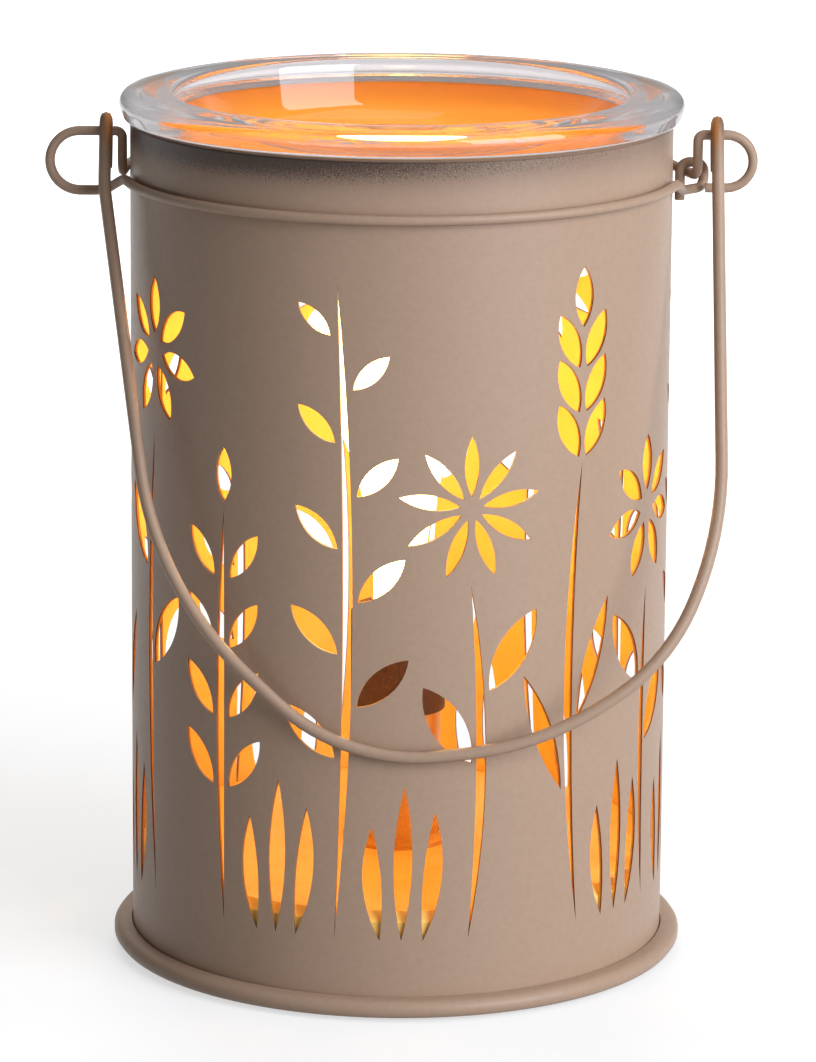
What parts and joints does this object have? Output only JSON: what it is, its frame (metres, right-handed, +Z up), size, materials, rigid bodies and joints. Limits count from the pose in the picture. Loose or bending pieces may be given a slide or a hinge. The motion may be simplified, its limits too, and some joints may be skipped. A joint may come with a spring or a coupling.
{
  "type": "electric wax warmer",
  "caption": "Pierced metal lantern warmer: a lamp inside a cylinder with cut-out plants heats a loose glass dish on top, with a swinging wire bail.",
  "frame": {"origin": "centre of the base, on the surface that it stands on", "axes": "+Z up, -Y to the front where the bail hangs, +X to the right seen from the front, the side with the hook"},
  "size_m": [0.1545, 0.1264, 0.1915],
  "materials": {
    "taupe_paint": "satin taupe paint",
    "wire_paint": "satin taupe paint on wire",
    "plain_steel": "zinc plated",
    "pad_rubber": "matt",
    "bush_rubber": "matt",
    "brass": "satin",
    "socket_moulding": "moulded",
    "cap_metal": "plain",
    "insulator": "opaque fused glass",
    "bulb_glass": "frosted, lit",
    "stem_glass": "clear",
    "lead_metal": "plain",
    "filament": "glowing coil",
    "dish_glass": "clear, polished"
  },
  "bodies": {
    "lantern": {"base_pan": "taupe_paint", "bottom_cover": "taupe_paint", "cover_lugs": "plain_steel", "cover_screws": "plain_steel", "foot_pads": "pad_rubber", "cord_grommet": "bush_rubber", "threaded_nipple": "plain_steel", "deck_washer": "plain_steel", "lock_nut": "plain_steel", "socket_column": "brass", "socket_body": "socket_moulding", "socket_screw_shell": "brass", "socket_contact": "brass", "bulb_contact": "cap_metal", "bulb_insulator": "insulator", "bulb_screw_cap": "cap_metal", "bulb_envelope": "bulb_glass", "bulb_stem": "stem_glass", "bulb_lead_wires": "lead_metal", "bulb_filament": "filament", "sleeve": "taupe_paint", "wire_band": "wire_paint"},
    "bail": {"bail_handle": "wire_paint"},
    "dish": {"glass_dish": "dish_glass"}
  },
  "joints": [
    {"name": "bail_swing", "type": "hinge", "parent": "lantern", "child": "bail", "pos_m": [0, -0.004, 0.18225], "axis": [-1, 0, 0], "range_deg": [0, 290]},
    {"name": "dish_lift", "type": "slide", "parent": "lantern", "child": "dish", "axis": [0, 0, 1], "range_m": [0, 0.05]}
  ]
}
